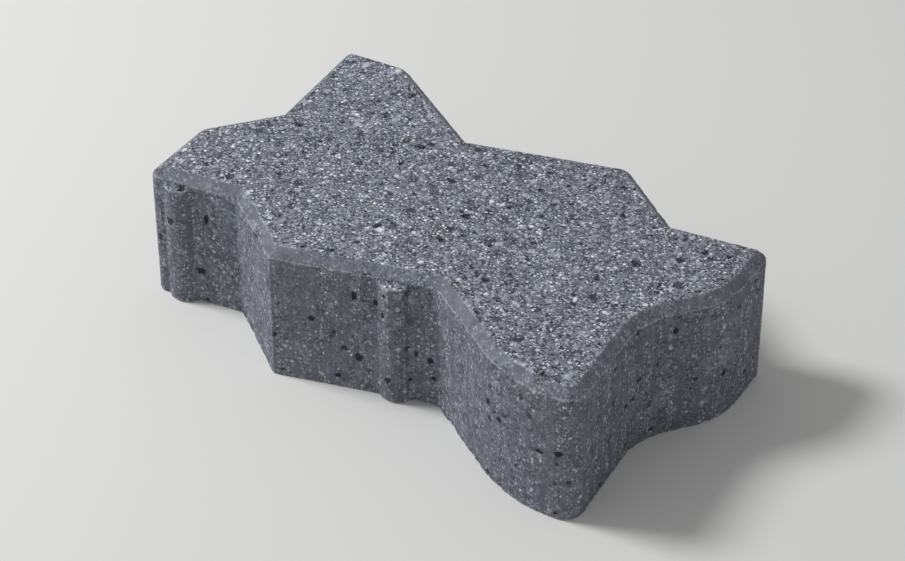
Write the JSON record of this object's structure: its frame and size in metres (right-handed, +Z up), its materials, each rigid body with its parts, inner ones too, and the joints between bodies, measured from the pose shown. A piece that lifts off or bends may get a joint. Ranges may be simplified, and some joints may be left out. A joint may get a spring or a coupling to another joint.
{
  "type": "concrete paving stone",
  "caption": "Zigzag interlocking concrete paving stone with a chamfered walking face and upright spacer ribs on its long sides.",
  "frame": {"origin": "middle of the flat bed face, on the ground that the stone lies on", "axes": "+X along the row of laid stones, +Y across the rows, +Z up through the walking face"},
  "size_m": [0.2353, 0.1397, 0.06],
  "materials": {
    "concrete": "bluish-grey concrete with a face of fine pale and dark stone chips, matte, smoother on the chamfer and the sides"
  },
  "bodies": {
    "root": {"paving_stone": "concrete"}
  },
  "joints": []
}
